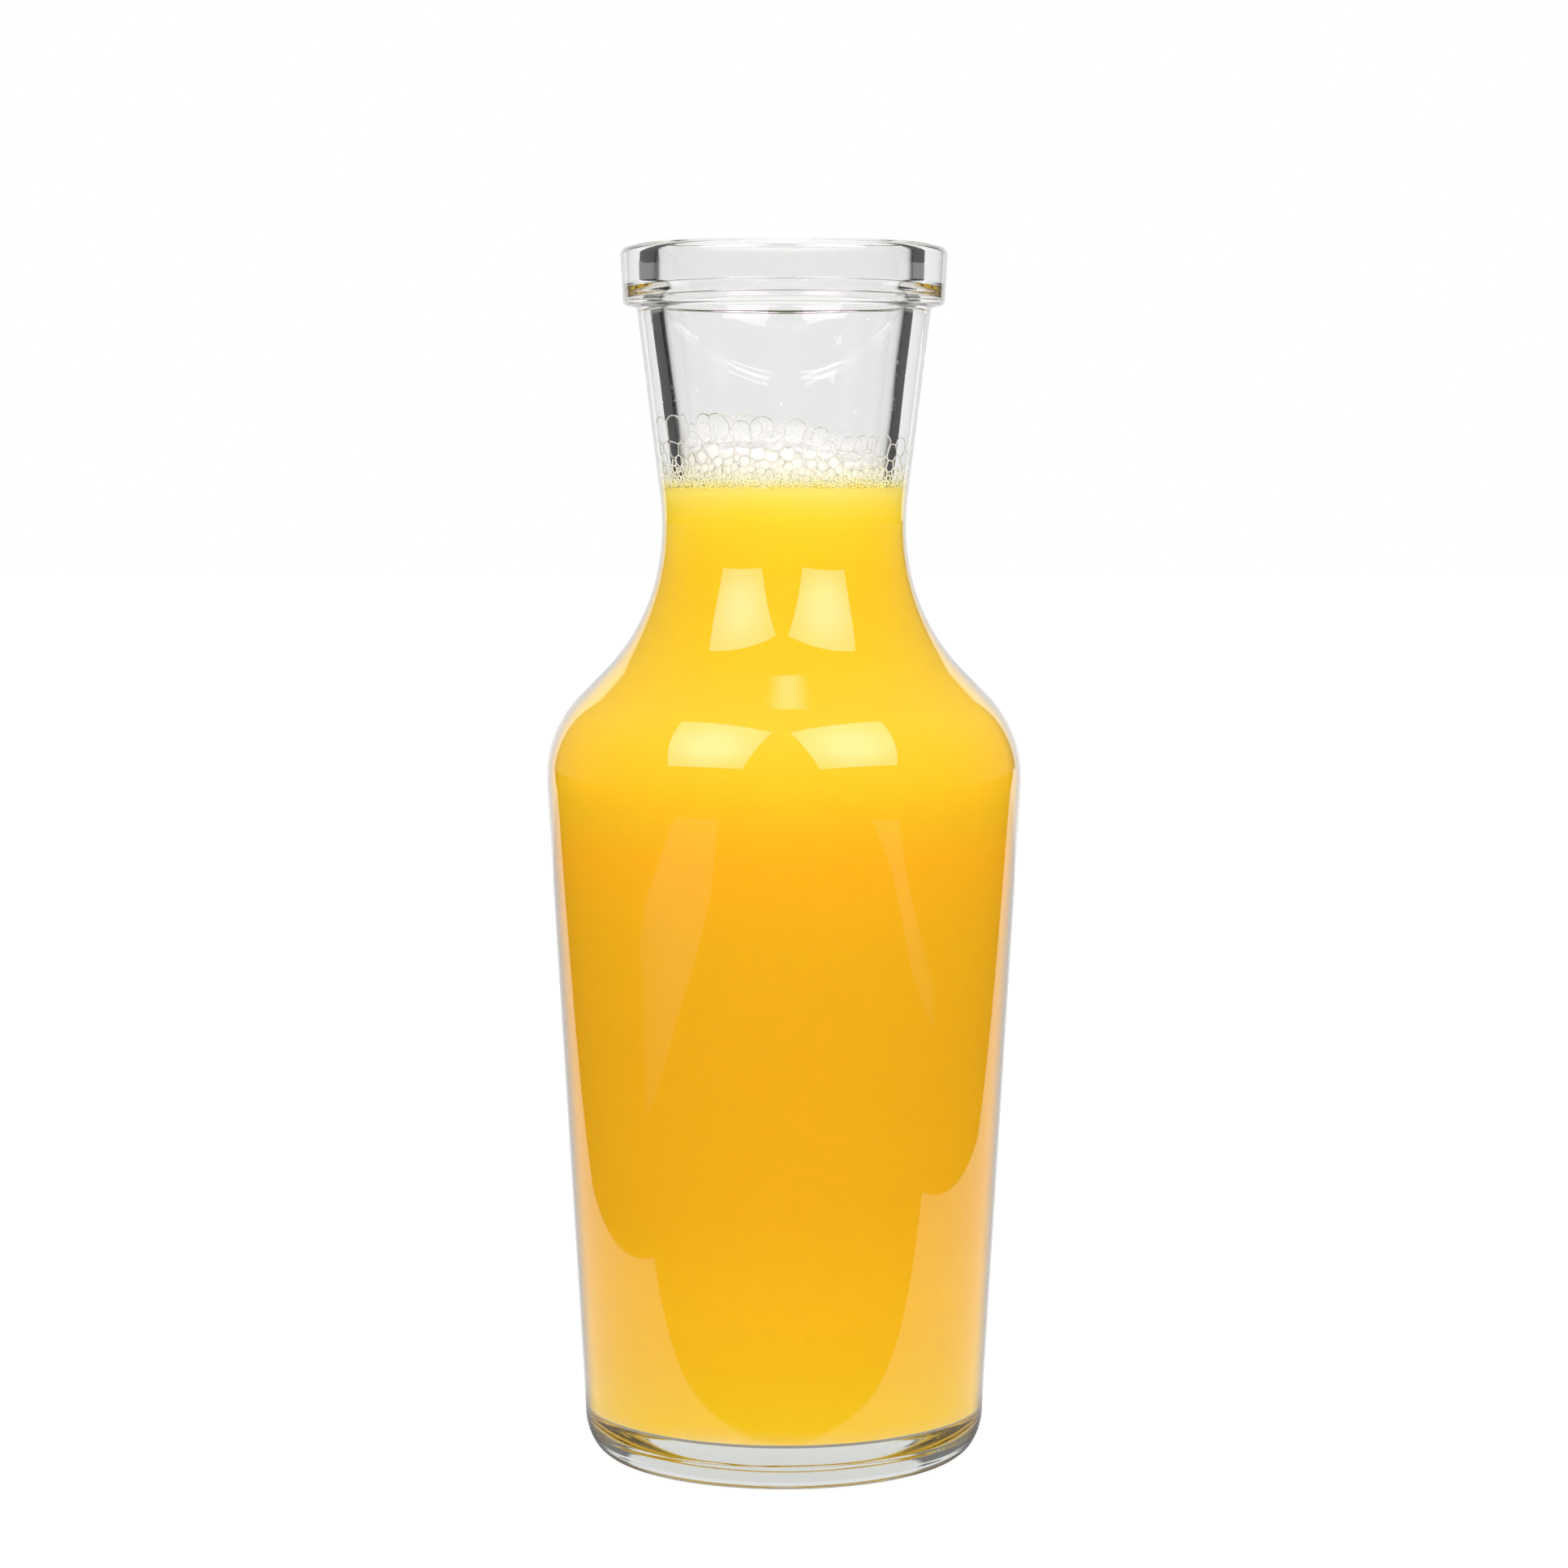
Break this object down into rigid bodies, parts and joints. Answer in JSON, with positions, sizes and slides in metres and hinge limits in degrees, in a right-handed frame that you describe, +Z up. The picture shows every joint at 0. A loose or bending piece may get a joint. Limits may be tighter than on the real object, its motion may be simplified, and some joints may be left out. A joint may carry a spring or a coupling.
{
  "type": "glass carafe of orange juice",
  "caption": "Clear glass serving carafe with a tapered body, round shoulder, flared neck and square collar, open at the mouth, full of orange juice under froth.",
  "frame": {"origin": "centre of the base, on the plane the carafe stands on", "axes": "+Z up along the axis of the carafe, -Y towards the viewer of the picture, +X to the viewer's right"},
  "size_m": [0.1006, 0.1006, 0.256],
  "materials": {
    "glass": "clear, polished, very slightly green",
    "orange_juice": "opaque cloudy yellow-orange liquid",
    "froth": "wet cream-coloured foam"
  },
  "bodies": {
    "root": {"carafe": "glass", "juice": "orange_juice", "froth": "froth"}
  },
  "joints": []
}
